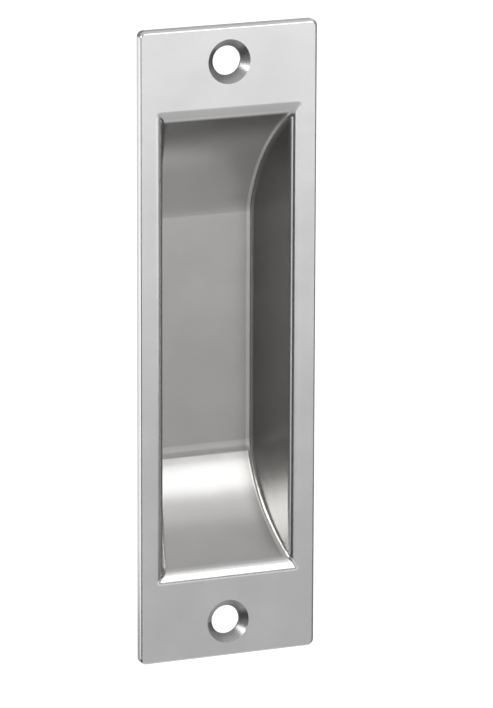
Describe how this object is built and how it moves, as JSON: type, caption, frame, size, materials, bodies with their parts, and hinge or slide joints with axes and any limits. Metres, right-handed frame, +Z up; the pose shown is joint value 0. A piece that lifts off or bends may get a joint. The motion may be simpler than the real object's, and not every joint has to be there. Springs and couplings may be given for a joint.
{
  "type": "recessed pull handle",
  "caption": "Rectangular flush pull: a flat plate with a countersunk screw hole at each end and a deep finger recess with drafted sides and curved end ramps.",
  "frame": {"origin": "middle of the plate's back face, halfway between the screw holes", "axes": "+Z up the length of the plate, -Y out of its front face, +Y into the door, +X to the right seen from the front"},
  "size_m": [0.035, 0.014, 0.12],
  "materials": {
    "satin_metal": "satin"
  },
  "bodies": {
    "root": {"flush_pull": "satin_metal"}
  },
  "joints": []
}
